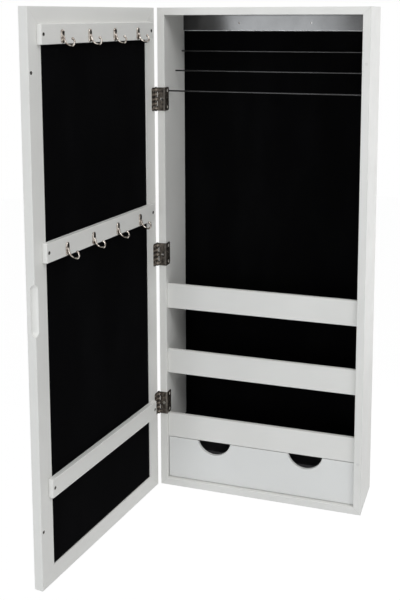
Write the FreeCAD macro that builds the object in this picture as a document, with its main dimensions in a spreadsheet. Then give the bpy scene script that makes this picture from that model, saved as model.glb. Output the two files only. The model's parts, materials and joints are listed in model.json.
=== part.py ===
"""A wall-hung jewelry cabinet with a mirror door.

Row frame, in millimetres: +Z up, +X to the right seen from the front, +Y back to the wall.
The origin is midway between the two wall-screw holes, on the plane of the cabinet's back.
The door hangs on its left edge and is drawn standing open.
"""
import FreeCAD, Part
import os
import Sketcher

SIZES = (
    # alias, value, what it measures
    ("width", 338, "cabinet and door, left to right"),
    ("height", 800, "cabinet and door, bottom to top"),
    ("depth", 100, "cabinet, front to back, without the door"),
    ("board", 12, "thickness of the four carcass boards"),
    ("arris", 0.8, "rounding of the long edges of painted boards"),
    ("seam", 0.15, "chamfer along the faces of each mitre"),
    ("back_thick", 4, "back panel"),
    ("back_rebate", 6, "width of the rebate that holds the back panel"),
    ("lining_thick", 2, "velvet-covered lining on the back panel"),
    ("fit_play", 0.2, "play round a panel in its rebate"),
    ("hang_drop", 25, "cabinet top down to the wall-screw holes"),
    ("hang_spacing", 120, "between the two wall-screw holes"),
    ("hang_hole_radius", 1.6, "wall-screw hole"),
    ("hang_rail_height", 26, "hanging rail, centred on the wall-screw holes"),
    ("hang_rail_thick", 5, "hanging rail, front to back"),
    ("recess", 7, "cabinet front edge back to the shelf fronts and the drawer"),
    ("front_thick", 6, "shelf fronts and drawer front"),
    ("front_height", 41, "shelf fronts"),
    ("front_arris", 0.6, "rounding of the shelf fronts and the drawer front"),
    ("shelf_clear", 32.25, "upper shelf front to the middle hinge over it"),
    ("shelf_thick", 6, "shelf boards"),
    ("felt_thick", 1.2, "felt on the shelves"),
    ("drawer_room", 72, "bottom board up to the lowest shelf front"),
    ("drawer_side_play", 0.8, "drawer to the cabinet's sides"),
    ("drawer_top_play", 1, "drawer front to the shelf front over it"),
    ("drawer_run_play", 0.3, "drawer box to the board it slides on"),
    ("drawer_front_lift", 0.8, "drawer front to the bottom board"),
    ("drawer_back_play", 2, "drawer box to the lining behind it"),
    ("drawer_wall", 6, "drawer sides and back"),
    ("drawer_wall_height", 58, "drawer sides and back"),
    ("drawer_bottom", 3, "drawer bottom"),
    ("drawer_lining", 1, "velvet tray in the drawer"),
    ("drawer_lining_drop", 5, "drawer sides' top down to the tray's rim"),
    ("notch_radius", 28.7, "arc of a finger notch in the drawer front"),
    ("notch_depth", 22.5, "depth of a finger notch"),
    ("notch_spacing", 154, "between the two finger notches"),
    ("rod_radius", 1.2, "necklace rods"),
    ("rod_play", 0.08, "rod in its socket, round it"),
    ("rod_end_play", 0.3, "rod in its socket, at each end"),
    ("rod_socket", 6, "depth of a rod's socket in a side board"),
    ("rod_front", 20, "front edge back to the lowest rod"),
    ("rod_rear", 11, "lining's face forward to the highest rod"),
    ("rod_drop", 133, "cabinet top down to the lowest rod"),
    ("rod_step_up", 31, "each rod above the one in front of it"),
    ("door_gap", 2.4, "cabinet front to the closed door"),
    ("door_thick", 14, "door frame"),
    ("door_open", 97, "angle at which the door is drawn, in degrees"),
    ("stile_width", 28.5, "door frame's uprights, on the inner face"),
    ("rail_width", 25.5, "door frame's cross members, on the inner face"),
    ("door_lip", 6, "how far the frame laps over the mirror's edge"),
    ("door_lip_thick", 4, "that lap, front to back"),
    ("mirror_thick", 3, "mirror glass"),
    ("door_board_thick", 5, "backing board behind the mirror"),
    ("door_felt_thick", 1, "felt on the backing board"),
    ("groove_radius", 7.5, "finger groove on the door's free edge"),
    ("groove_length", 72, "finger groove, end to end"),
    ("pin_out", 2.2, "cabinet side out to the hinge pins"),
    ("pin_radius", 1, "hinge pins"),
    ("pin_head", 0.7, "height of a hinge pin's head"),
    ("pin_head_radius", 1.6, "hinge pin's heads"),
    ("knuckle_radius", 2.2, "outside of a hinge knuckle"),
    ("knuckle_bore_play", 0.06, "hinge pin in its knuckles"),
    ("knuckle_play", 0.3, "knuckles to the other leaf"),
    ("leaf_thick", 0.9, "hinge leaves"),
    ("leaf_height", 37.5, "hinge leaves"),
    ("leaf_corner", 3.5, "rounded corners of the leaves"),
    ("leaf_return", 17, "cabinet leaf's wing along the inside of the side board"),
    ("leaf_door_width", 10.5, "door leaf, from the door's hinge edge"),
    ("hinge_inset", 145, "cabinet's ends to the outer hinges' middles"),
    ("wing_screw_back", 10, "front edge back to the wing's screws"),
    ("wing_screw_spacing", 26.5, "between the wing's two screws"),
    ("face_screw_in", 7, "side face in to the leaf's front screw"),
    ("door_leaf_screw_in", 5, "door's hinge edge in to the door leaf's screws"),
    ("door_leaf_screw_spacing", 25, "between the door leaf's two screws"),
    ("screw_head_radius", 2.5, "countersunk screws"),
    ("screw_head_depth", 1, "countersunk screws, the cone of the head"),
    ("screw_radius", 1.1, "countersunk screws, the shank"),
    ("screw_play", 0.05, "round a screw in its hole"),
    ("screw_cross_width", 0.6, "cross recess"),
    ("screw_cross_length", 2.4, "cross recess"),
    ("screw_cross_depth", 0.6, "cross recess"),
    ("hinge_screw_length", 9, "screws of the hinges and the strikes"),
    ("hook_screw_length", 6.5, "screws of the hooks"),
    ("bar_screw_length", 16, "screws of the bars on the door"),
    ("magnet_radius", 2.5, "round magnets in the cabinet's front edge"),
    ("magnet_length", 4, "magnets"),
    ("catch_inset", 85, "cabinet's ends to the magnets"),
    ("catch_in", 5.5, "cabinet's right face in to the magnets"),
    ("bar_end_in", 19, "door's edges in to the bars' ends"),
    ("bar_height", 27, "bars"),
    ("bar_thick", 8, "bars"),
    ("bar_screw_in", 5, "a bar's end in to its screw"),
    ("upper_bar_drop", 36, "cabinet top down to the upper bar's middle"),
    ("middle_bar_rise", 475, "cabinet bottom up to the middle bar's middle"),
    ("lower_bar_rise", 143, "cabinet bottom up to the lower bar's middle"),
    ("hook_spacing", 68, "one hook to the next"),
    ("hook_drop", 3.5, "bar's middle down to the hook plate's middle"),
    ("hook_plate_width", 7.6, "hook plate"),
    ("hook_plate_height", 18.5, "hook plate"),
    ("hook_plate_thick", 2, "hook plate"),
    ("hook_plate_corner", 3.6, "rounded ends of the hook plate"),
    ("hook_screw_rise", 4.8, "hook plate's middle up to its screw"),
    ("hook_wire", 1.35, "radius of the hook's wire"),
    ("hook_out", 13.8, "bar face out to the middle of the wire's bends"),
    ("hook_leg", 11, "radius of the wire's bend away from the plate, to its middle"),
    ("hook_leg_drop", 1.6, "hook plate's middle down to where the wire starts"),
    ("hook_bow", 5.2, "radius of the hook's bow, to the wire's middle"),
    ("hook_sweep", 150, "how far round the bow goes, in degrees"),
    ("hook_tip", 2.1, "radius of the hook's round tip"),
)

doc = FreeCAD.newDocument("JewelryMirrorCabinet")
sheet = doc.addObject("Spreadsheet::Sheet", "Size")
for row, (alias, number, meaning) in enumerate(SIZES, start=1):
    sheet.set(f"A{row}", meaning)
    sheet.set(f"B{row}", str(number))
    sheet.setAlias(f"B{row}", alias)
doc.recompute()

# Places that many pieces share, written with the sheet's sizes.
LEFT = "(-Size.width / 2)"
FRONT = "(-Size.depth)"
TOP = "Size.hang_drop"
BOTTOM = "(Size.hang_drop - Size.height)"
INNER_LEFT = f"({LEFT} + Size.board)"
INNER_WIDTH = "(Size.width - 2 * Size.board)"
LINING_FACE = "(-Size.back_thick - Size.lining_thick)"
FRONTS_FACE = f"({FRONT} + Size.recess)"
FRONTS_BACK = f"({FRONTS_FACE} + Size.front_thick)"
FLOOR = f"({BOTTOM} + Size.board)"
PIN_X = f"({LEFT} - Size.pin_out)"
PIN_Y = f"({FRONT} - Size.door_gap / 2)"
DOOR_BACK = f"({FRONT} - Size.door_gap)"
DOOR_FRONT = f"({DOOR_BACK} - Size.door_thick)"
BAR_FACE = f"({DOOR_BACK} + Size.bar_thick)"
BAR_LENGTH = "(Size.width - 2 * Size.bar_end_in)"
CATCH_X = "(Size.width / 2 - Size.catch_in)"
ORIGIN = ("0", "0", "0")

HINGES = {
    "upper": f"({TOP} - Size.hinge_inset)",
    "middle": f"(({TOP} + {BOTTOM}) / 2)",
    "lower": f"({BOTTOM} + Size.hinge_inset)",
}
LOWER_SHELF = f"({FLOOR} + Size.drawer_room)"
UPPER_SHELF = f"({HINGES['middle']} - Size.leaf_height / 2 - Size.shelf_clear - Size.front_height)"
SHELVES = {
    "lower": LOWER_SHELF,
    "middle": f"(({LOWER_SHELF} + {UPPER_SHELF}) / 2)",
    "upper": UPPER_SHELF,
}
LAST_ROD = 2
RODS = {"front": 0, "middle": 1, "rear": LAST_ROD}
BARS = {
    "hook_bar_upper": f"({TOP} - Size.upper_bar_drop)",
    "hook_bar_middle": f"({BOTTOM} + Size.middle_bar_rise)",
    "plain_bar_lower": f"({BOTTOM} + Size.lower_bar_rise)",
}
CATCHES = (f"({TOP} - Size.catch_inset)", f"({BOTTOM} + Size.catch_inset)")

# A screw's own +Z points out of the surface that it is driven into.
FACING = {
    "front": FreeCAD.Rotation(FreeCAD.Vector(1, 0, 0), 90),
    "back": FreeCAD.Rotation(FreeCAD.Vector(1, 0, 0), -90),
    "right": FreeCAD.Rotation(FreeCAD.Vector(0, 1, 0), 90),
}


def number(expression):
    """The present value of a length written with the sheet's sizes."""
    return float(sheet.evalExpression(expression))


def place(piece, spot, on_door=False):
    """Put a piece at a spot, which for the door's pieces is where they are when it is closed."""
    x, y, z = spot
    if on_door:
        turn = "(Size.door_open * 1deg)"
        across, back = f"({x} - {PIN_X})", f"({y} - {PIN_Y})"
        x = f"{PIN_X} + {across} * cos({turn}) + {back} * sin({turn})"
        y = f"{PIN_Y} - {across} * sin({turn}) + {back} * cos({turn})"
        piece.setExpression("Placement.Rotation.Angle", f"-{turn}")
    piece.setExpression("Placement.Base.x", x)
    piece.setExpression("Placement.Base.y", y)
    piece.setExpression("Placement.Base.z", z)
    return piece


def primitive(kind, label, spot=ORIGIN, **lengths):
    """A box, cylinder, sphere or torus whose named lengths follow the sheet."""
    piece = doc.addObject(f"Part::{kind}", label)
    for name, expression in lengths.items():
        piece.setExpression(name, expression)
    return place(piece, spot)


def joined(label, pieces):
    union = doc.addObject("Part::MultiFuse", label)
    union.Shapes = pieces
    return union


def grouped(label, pieces, on_door=False):
    group = doc.addObject("Part::Compound", label)
    group.Links = pieces
    return place(group, ORIGIN, on_door)


def cut(label, piece, tools, on_door=False, spot=ORIGIN):
    """A piece less its holes. Piece and tools lie round the spot that the result is put at."""
    result = doc.addObject("Part::Cut", label)
    result.Base = piece
    result.Tool = tools[0] if len(tools) == 1 else grouped(f"{label}_holes", tools)
    return place(result, spot, on_door)


# ---- sketches and the features made from them


def new_body(label, spot, on_door=False):
    return place(doc.addObject("PartDesign::Body", label), spot, on_door)


def sketch_on(body, role, shift="0"):
    """A sketch on one of the body's own planes, shifted along that plane's normal."""
    sketch = body.newObject("Sketcher::SketchObject", f"{body.Name}_sketch")
    plane = [item for item in body.Origin.OriginFeatures if item.Role == role][0]
    sketch.AttachmentSupport = [(plane, "")]
    sketch.MapMode = "FlatFace"
    sketch.setExpression("AttachmentOffset.Base.z", shift)
    return sketch


def pin_point(sketch, element, point, spot):
    """Hold a point of the sketch at two distances from its origin."""
    for direction, expression in zip(("DistanceX", "DistanceY"), spot):
        rule = Sketcher.Constraint(direction, -1, 1, element, point, number(expression))
        sketch.setExpression(f"Constraints[{sketch.addConstraint(rule)}]", expression)


def draw_outline(sketch, corners):
    """A closed outline with straight sides through corners that follow the sheet."""
    spots = [FreeCAD.Vector(number(x), number(y), 0) for x, y in corners]
    first = sketch.GeometryCount
    for here, there in zip(spots, spots[1:] + spots[:1]):
        sketch.addGeometry(Part.LineSegment(here, there))
    for side in range(len(corners)):
        after = first + (side + 1) % len(corners)
        sketch.addConstraint(Sketcher.Constraint("Coincident", first + side, 2, after, 1))
        pin_point(sketch, first + side, 1, corners[side])


def draw_circle(sketch, centre, radius):
    middle = FreeCAD.Vector(number(centre[0]), number(centre[1]), 0)
    upright = FreeCAD.Vector(0, 0, 1)
    circle = sketch.addGeometry(Part.Circle(middle, upright, number(radius)))
    pin_point(sketch, circle, 3, centre)
    rule = sketch.addConstraint(Sketcher.Constraint("Radius", circle, number(radius)))
    sketch.setExpression(f"Constraints[{rule}]", radius)


def raise_pad(body, sketch, length, against_normal=False):
    pad = body.newObject("PartDesign::Pad", f"{body.Name}_pad")
    pad.Profile = sketch
    pad.setExpression("Length", length)
    pad.Reversed = against_normal
    doc.recompute()
    return pad


def sink_pocket(body, sketch, length, along_normal=False):
    """Cut the sketch into the body, and make sure that it took something away."""
    before = body.Shape.Volume
    pocket = body.newObject("PartDesign::Pocket", f"{body.Name}_pocket")
    pocket.Profile = sketch
    pocket.setExpression("Length", length)
    pocket.Reversed = along_normal
    doc.recompute()
    if body.Shape.Volume >= before:
        raise ValueError(f"a pocket in {body.Label} cuts nothing")
    return pocket


def dress(body, kind, size, wanted):
    """Fillet or chamfer the edges of the body's tip that the test picks."""
    base = body.Tip
    edges = [f"Edge{i}" for i, edge in enumerate(base.Shape.Edges, start=1) if wanted(edge)]
    dressing = body.newObject(f"PartDesign::{kind}", f"{body.Name}_{kind}")
    dressing.Base = (base, edges)
    dressing.setExpression("Radius" if kind == "Fillet" else "Size", size)
    doc.recompute()
    return dressing


def runs_along(edge, axis):
    """True for a straight edge parallel to the axis, 0 to 2 for X to Z."""
    if edge.Curve.TypeId != "Part::GeomLine":
        return False
    return abs(edge.Curve.Direction[axis]) > 0.999


def level(edge, axis):
    """How far along the axis an edge's middle lies."""
    return edge.CenterOfMass[axis]


def near(value, expression):
    return abs(value - number(expression)) < 0.01


def board(label, size, spot, arris, on_door=False):
    """A rectangular board with softened edges."""
    long_x, long_y, long_z = size
    body = new_body(label, spot, on_door)
    sketch = sketch_on(body, "XY_Plane")
    draw_outline(sketch, [("0", "0"), (long_x, "0"), (long_x, long_y), ("0", long_y)])
    raise_pad(body, sketch, long_z)
    dress(body, "Fillet", arris, lambda edge: True)
    return body


# ---- screws: one of each length, and a drill of the same shape with a little play


def screw_outline(body, length, play, above):
    """Half a countersunk screw, turned about its own axis."""
    head = f"(Size.screw_head_radius + {play})"
    shank = f"(Size.screw_radius + {play})"
    neck = "-Size.screw_head_depth"
    corners = [("0", above), (head, above), (head, "0"), (shank, neck)]
    if above == "0":
        corners = [("0", "0"), (head, "0"), (shank, neck)]
    corners += [(shank, f"-({length} + {play})"), ("0", f"-({length} + {play})")]
    sketch = sketch_on(body, "XZ_Plane")
    draw_outline(sketch, corners)
    turned = body.newObject("PartDesign::Revolution", f"{body.Name}_turned")
    turned.Profile = sketch
    turned.ReferenceAxis = (sketch, ["V_Axis"])
    turned.Angle = 360
    doc.recompute()


def screw_pattern(label, length):
    body = new_body(label, ORIGIN)
    screw_outline(body, length, "0", "0")
    half_long, half_wide = "Size.screw_cross_length / 2", "Size.screw_cross_width / 2"
    for across, up in ((half_long, half_wide), (half_wide, half_long)):
        slot = sketch_on(body, "XY_Plane")
        corners = [(f"-{across}", f"-{up}"), (across, f"-{up}"), (across, up), (f"-{across}", up)]
        draw_outline(slot, corners)
        sink_pocket(body, slot, "Size.screw_cross_depth")
    return body


def drill_pattern(label, length):
    body = new_body(label, ORIGIN)
    screw_outline(body, length, "Size.screw_play", "Size.screw_head_depth")
    return body


SCREWS, DRILLS = {}, {}
for use in ("hinge", "hook", "bar"):
    SCREWS[use] = screw_pattern(f"{use}_screw_pattern", f"Size.{use}_screw_length")
    DRILLS[use] = drill_pattern(f"{use}_drill_pattern", f"Size.{use}_screw_length")


def copies(pattern, spots, facing):
    """Copies of a screw or a drill at the spots."""
    made = []
    for spot in spots:
        copy = doc.addObject("App::Link", f"{pattern.Name}_copy")
        copy.LinkedObject = pattern
        copy.Placement = FreeCAD.Placement(FreeCAD.Vector(), FACING[facing])
        made.append(place(copy, spot))
    return made


def screws(label, use, spots, facing, on_door=False):
    return grouped(label, copies(SCREWS[use], spots, facing), on_door)


def drills(use, spots, facing):
    return copies(DRILLS[use], spots, facing)


def either_side(middle, spacing):
    return [f"({middle} - {spacing} / 2)", f"({middle} + {spacing} / 2)"]


# Where the screws go. Those of the door are given with the door closed.
WING_SPOTS = [
    (f"{INNER_LEFT} + Size.leaf_thick", f"{FRONT} + Size.wing_screw_back", z)
    for middle in HINGES.values()
    for z in either_side(middle, "Size.wing_screw_spacing")
]
FACE_SPOTS = [
    (f"{LEFT} + Size.face_screw_in", f"{FRONT} - Size.leaf_thick", z) for z in HINGES.values()
]
DOOR_LEAF_SPOTS = [
    (f"{LEFT} + Size.door_leaf_screw_in", f"{DOOR_BACK} + Size.leaf_thick", z)
    for middle in HINGES.values()
    for z in either_side(middle, "Size.door_leaf_screw_spacing")
]
STRIKE_SPOTS = [(CATCH_X, DOOR_BACK, z) for z in CATCHES]
BAR_SPOTS = {
    side: [(f"{sign}({BAR_LENGTH} / 2 - Size.bar_screw_in)", BAR_FACE, z) for z in BARS.values()]
    for side, sign in (("hinge", "-"), ("free", ""))
}
HOOK_BARS = ("hook_bar_upper", "hook_bar_middle")
HOOK_STEPS = (-1.5, -0.5, 0.5, 1.5)


# ---- the carcass


def frame_member(label, side, outside, inset, thick, rebate, spot, on_door=False):
    """One of four mitred members round an opening.

    outside and inset are (across, up); rebate is (across, up, first depth, last depth).
    """
    (wide, tall), (across, up) = outside, inset
    far, high = f"({wide} - {across})", f"({tall} - {up})"
    outlines = {
        "left": [("0", "0"), (across, up), (across, high), ("0", tall)],
        "right": [(wide, "0"), (wide, tall), (far, high), (far, up)],
        "top": [("0", tall), (across, high), (far, high), (wide, tall)],
        "bottom": [("0", "0"), (wide, "0"), (far, up), (across, up)],
    }
    body = new_body(label, spot, on_door)
    face = sketch_on(body, "XZ_Plane")
    draw_outline(face, outlines[side])
    raise_pad(body, face, thick, against_normal=True)

    def on_a_face(edge):
        return near(level(edge, 1), "0") or near(level(edge, 1), thick)

    def slants(edge):
        return not any(runs_along(edge, axis) for axis in range(3))

    dress(body, "Chamfer", "Size.seam", lambda edge: slants(edge) and on_a_face(edge))
    rebate_x, rebate_z, start, end = rebate
    opening = sketch_on(body, "XZ_Plane", f"-({start})")
    near_x, far_x = rebate_x, f"({wide} - {rebate_x})"
    near_z, far_z = rebate_z, f"({tall} - {rebate_z})"
    corners = [(near_x, near_z), (far_x, near_z), (far_x, far_z), (near_x, far_z)]
    draw_outline(opening, corners)
    sink_pocket(body, opening, f"{end} - ({start})")
    run = 2 if side in ("left", "right") else 0
    dress(body, "Fillet", "Size.arris", lambda edge: runs_along(edge, run) and on_a_face(edge))
    return body


CARCASS = dict(
    outside=("Size.width", "Size.height"),
    inset=("Size.board", "Size.board"),
    thick="Size.depth",
    rebate=(
        "(Size.board - Size.back_rebate)",
        "(Size.board - Size.back_rebate)",
        "(Size.depth - Size.back_thick)",
        "Size.depth",
    ),
    spot=(LEFT, FRONT, BOTTOM),
)


def rod_spot(step):
    lowest, highest = f"({FRONT} + Size.rod_front)", f"({LINING_FACE} - Size.rod_rear)"
    back = f"{lowest} + {step} * ({highest} - {lowest}) / {LAST_ROD}"
    up = f"{TOP} - Size.rod_drop + {step} * Size.rod_step_up"
    return back, up


def lying_cylinder(label, start, length, radius, facing, spot_y, spot_z):
    """A cylinder that runs to the right or to the front from its start."""
    rod = primitive("Cylinder", label, (start, spot_y, spot_z), Radius=radius, Height=length)
    rod.Placement.Rotation = FACING[facing]
    return rod


def make_carcass():
    sockets = [
        lying_cylinder(
            f"{name}_socket",
            f"{INNER_LEFT} - Size.rod_socket",
            f"{INNER_WIDTH} + 2 * Size.rod_socket",
            "Size.rod_radius + Size.rod_play",
            "right",
            *rod_spot(step),
        )
        for name, step in RODS.items()
    ]
    magnet_holes = [
        lying_cylinder(
            "magnet_hole",
            CATCH_X,
            "Size.magnet_length",
            "Size.magnet_radius + Size.screw_play",
            "front",
            f"{FRONT} + Size.magnet_length",
            z,
        )
        for z in CATCHES
    ]
    left = frame_member("side_left_blank", "left", **CARCASS)
    hinge_holes = drills("hinge", WING_SPOTS, "right") + drills("hinge", FACE_SPOTS, "front")
    right = frame_member("side_right_blank", "right", **CARCASS)
    return [
        cut("side_left", left, sockets + hinge_holes),
        cut("side_right", right, sockets + magnet_holes),
        frame_member("top_board", "top", **CARCASS),
        frame_member("bottom_board", "bottom", **CARCASS),
    ]


def make_magnets():
    magnets = [
        lying_cylinder(
            "magnet",
            CATCH_X,
            "Size.magnet_length",
            "Size.magnet_radius",
            "front",
            f"{FRONT} + Size.magnet_length",
            z,
        )
        for z in CATCHES
    ]
    return grouped("catch_magnets", magnets)


def make_back():
    """The back panel, its lining, and the rail that takes the wall screws."""
    opening = "(Size.board - Size.back_rebate + Size.fit_play)"
    panel = primitive(
        "Box",
        "back_panel_blank",
        (f"{LEFT} + {opening}", "-Size.back_thick", f"{BOTTOM} + {opening}"),
        Length=f"Size.width - 2 * {opening}",
        Width="Size.back_thick",
        Height=f"Size.height - 2 * {opening}",
    )
    rail = board(
        "hanging_rail_blank",
        (INNER_WIDTH, "Size.hang_rail_thick", "Size.hang_rail_height"),
        (INNER_LEFT, "-Size.back_thick - Size.hang_rail_thick", "-Size.hang_rail_height / 2"),
        "Size.front_arris",
    )
    rail_foot = "-Size.hang_rail_height / 2"
    lining = primitive(
        "Box",
        "back_lining",
        (INNER_LEFT, LINING_FACE, FLOOR),
        Length=INNER_WIDTH,
        Width="Size.lining_thick",
        Height=f"{rail_foot} - {FLOOR}",
    )
    holes = [
        lying_cylinder(
            "wall_screw_hole",
            x,
            "2 * (Size.back_thick + Size.hang_rail_thick)",
            "Size.hang_hole_radius",
            "front",
            "Size.back_thick",
            "0",
        )
        for x in either_side("0", "Size.hang_spacing")
    ]
    return [cut("back_panel", panel, holes), cut("hanging_rail", rail, holes), lining]


def make_shelf(name, foot):
    """A shelf board, its felt and the front that keeps things on it."""
    depth = f"{LINING_FACE} - {FRONTS_BACK}"
    front = board(
        f"shelf_front_{name}",
        (INNER_WIDTH, "Size.front_thick", "Size.front_height"),
        (INNER_LEFT, FRONTS_FACE, foot),
        "Size.front_arris",
    )
    shelf = primitive(
        "Box",
        f"shelf_{name}",
        (INNER_LEFT, FRONTS_BACK, foot),
        Length=INNER_WIDTH,
        Width=depth,
        Height="Size.shelf_thick",
    )
    felt = primitive(
        "Box",
        f"shelf_felt_{name}",
        (INNER_LEFT, FRONTS_BACK, f"{foot} + Size.shelf_thick"),
        Length=INNER_WIDTH,
        Width=depth,
        Height="Size.felt_thick",
    )
    return [front, shelf, felt]


def make_rod(name, step):
    return lying_cylinder(
        f"necklace_rod_{name}",
        f"{INNER_LEFT} - Size.rod_socket + Size.rod_end_play",
        f"{INNER_WIDTH} + 2 * (Size.rod_socket - Size.rod_end_play)",
        "Size.rod_radius",
        "right",
        *rod_spot(step),
    )


# ---- the drawer, a box that slides on the bottom board


def make_drawer():
    left = f"({INNER_LEFT} + Size.drawer_side_play)"
    wide = f"({INNER_WIDTH} - 2 * Size.drawer_side_play)"
    foot = f"({FLOOR} + Size.drawer_run_play)"
    back = f"({LINING_FACE} - Size.drawer_back_play)"
    wall = "Size.drawer_wall"
    front_foot = f"({FLOOR} + Size.drawer_front_lift)"
    front_tall = "(Size.drawer_room - Size.drawer_front_lift - Size.drawer_top_play)"
    front = new_body("drawer_front", (left, FRONTS_FACE, front_foot))
    face = sketch_on(front, "XZ_Plane")
    draw_outline(face, [("0", "0"), (wide, "0"), (wide, front_tall), ("0", front_tall)])
    raise_pad(front, face, "Size.front_thick", against_normal=True)
    notches = sketch_on(front, "XZ_Plane")
    for x in either_side(f"{wide} / 2", "Size.notch_spacing"):
        centre = (x, f"{front_tall} - Size.notch_depth + Size.notch_radius")
        draw_circle(notches, centre, "Size.notch_radius")
    sink_pocket(front, notches, "Size.front_thick")
    dress(front, "Fillet", "Size.front_arris", lambda edge: not runs_along(edge, 1))
    inner_left = f"({left} + {wall})"
    inner_wide = f"({wide} - 2 * {wall})"
    inner_deep = f"({back} - {wall} - {FRONTS_BACK})"
    sides = [
        board(
            f"drawer_side_{side}",
            (wall, f"{back} - {FRONTS_BACK}", "Size.drawer_wall_height"),
            (x, FRONTS_BACK, foot),
            "Size.front_arris",
        )
        for side, x in (("left", left), ("right", f"{left} + {wide} - {wall}"))
    ]
    rear = board(
        "drawer_back",
        (inner_wide, wall, "Size.drawer_wall_height"),
        (inner_left, f"{back} - {wall}", foot),
        "Size.front_arris",
    )
    bottom = primitive(
        "Box",
        "drawer_bottom",
        (inner_left, FRONTS_BACK, foot),
        Length=inner_wide,
        Width=inner_deep,
        Height="Size.drawer_bottom",
    )
    return [front, *sides, rear, bottom, make_drawer_tray(inner_left, inner_wide, inner_deep)]


def make_drawer_tray(left, wide, deep):
    """The velvet tray that lines the drawer's floor and walls."""
    skin = "Size.drawer_lining"
    foot = f"({FLOOR} + Size.drawer_run_play + Size.drawer_bottom)"
    tall = "(Size.drawer_wall_height - Size.drawer_bottom - Size.drawer_lining_drop)"
    tray = new_body("drawer_tray", (left, FRONTS_BACK, foot))
    floor = sketch_on(tray, "XY_Plane")
    draw_outline(floor, [("0", "0"), (wide, "0"), (wide, deep), ("0", deep)])
    raise_pad(tray, floor, tall)
    hollow = sketch_on(tray, "XY_Plane", tall)
    far, back = f"({wide} - {skin})", f"({deep} - {skin})"
    draw_outline(hollow, [(skin, skin), (far, skin), (far, back), (skin, back)])
    sink_pocket(tray, hollow, f"{tall} - {skin}")
    return tray


# ---- the hinges


def knuckle_row(body, first, count, inward, outward):
    """Barrel segments of one leaf, every second one of five, bored for the pin."""
    pitch = "(Size.leaf_height / 5)"
    start = f"({first} * {pitch} + Size.knuckle_play / 2)"
    tall = f"{pitch} - Size.knuckle_play"
    neck = "((Size.pin_radius + Size.knuckle_radius) / 2)"
    clear = "(Size.knuckle_radius + Size.knuckle_play)"
    web = sketch_on(body, "XY_Plane", start)
    draw_outline(web, [(neck, inward), (clear, inward), (clear, outward), (neck, outward)])
    web_pad = raise_pad(body, web, tall)
    barrel = sketch_on(body, "XY_Plane", start)
    draw_circle(barrel, ("0", "0"), "Size.knuckle_radius")
    barrel_pad = raise_pad(body, barrel, tall)
    row = body.newObject("PartDesign::LinearPattern", f"{body.Name}_row")
    row.Originals = [web_pad, barrel_pad]
    axis = [item for item in body.Origin.OriginFeatures if item.Role == "Z_Axis"][0]
    row.Direction = (axis, [""])
    row.setExpression("Length", f"2 * {count - 1} * {pitch}")
    row.Occurrences = count
    body.Tip = row
    doc.recompute()
    bore = sketch_on(body, "XY_Plane", "Size.leaf_height")
    draw_circle(bore, ("0", "0"), "Size.pin_radius + Size.knuckle_bore_play")
    sink_pocket(body, bore, "Size.leaf_height")


def cabinet_leaf(name, middle):
    """Screwed to the side board's front edge and bent round onto its inside."""
    foot = f"({middle} - Size.leaf_height / 2)"
    body = new_body(f"hinge_leaf_cabinet_{name}_blank", (PIN_X, PIN_Y, foot))
    clear = "(Size.knuckle_radius + Size.knuckle_play)"
    inside = "(Size.pin_out + Size.board)"
    wing = f"({inside} + Size.leaf_thick)"
    seat = "(Size.door_gap / 2)"
    face = f"({seat} - Size.leaf_thick)"
    end = f"({seat} + Size.leaf_return)"
    plate = sketch_on(body, "XY_Plane")
    corners = [(clear, face), (wing, face), (wing, end), (inside, end), (inside, seat)]
    draw_outline(plate, corners + [(clear, seat)])
    raise_pad(body, plate, "Size.leaf_height")

    def wing_corner(edge):
        return runs_along(edge, 0) and near(level(edge, 1), end)

    dress(body, "Fillet", "Size.leaf_corner", wing_corner)
    knuckle_row(body, 0, 3, face, seat)
    holes = drills("hinge", WING_SPOTS, "right") + drills("hinge", FACE_SPOTS, "front")
    return cut(f"hinge_leaf_cabinet_{name}", body, holes)


def door_leaf(name, middle):
    """Screwed flat to the door's inner face."""
    foot = f"({middle} - Size.leaf_height / 2)"
    body = new_body(f"hinge_leaf_door_{name}_blank", (PIN_X, PIN_Y, foot))
    clear = "(Size.knuckle_radius + Size.knuckle_play)"
    end = "(Size.pin_out + Size.leaf_door_width)"
    seat = "(-Size.door_gap / 2)"
    face = f"({seat} + Size.leaf_thick)"
    plate = sketch_on(body, "XY_Plane")
    draw_outline(plate, [(clear, seat), (end, seat), (end, face), (clear, face)])
    raise_pad(body, plate, "Size.leaf_height")

    def free_corner(edge):
        return runs_along(edge, 1) and near(level(edge, 0), end)

    dress(body, "Fillet", "Size.leaf_corner", free_corner)
    knuckle_row(body, 1, 2, seat, face)
    holes = drills("hinge", DOOR_LEAF_SPOTS, "back")
    return cut(f"hinge_leaf_door_{name}", body, holes, on_door=True)


def hinge_pin(name, middle):
    """A pin with a flat head over and under the barrel."""
    foot = f"({middle} - Size.leaf_height / 2)"
    head = f"({middle} + Size.leaf_height / 2)"
    tall = "Size.pin_head"
    shank = primitive(
        "Cylinder", "pin_shank", (PIN_X, PIN_Y, foot),
        Radius="Size.pin_radius", Height="Size.leaf_height",
    )
    heads = [
        primitive(
            "Cylinder", "pin_end", (PIN_X, PIN_Y, z), Radius="Size.pin_head_radius", Height=tall
        )
        for z in (f"{foot} - {tall}", head)
    ]
    return joined(f"hinge_pin_{name}", [shank, *heads])


# ---- the door


DOOR = dict(
    outside=("Size.width", "Size.height"),
    inset=("(Size.stile_width + Size.door_lip)", "(Size.rail_width + Size.door_lip)"),
    thick="Size.door_thick",
    rebate=("Size.stile_width", "Size.rail_width", "Size.door_lip_thick", "Size.door_thick"),
    spot=(LEFT, DOOR_FRONT, BOTTOM),
)


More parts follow.
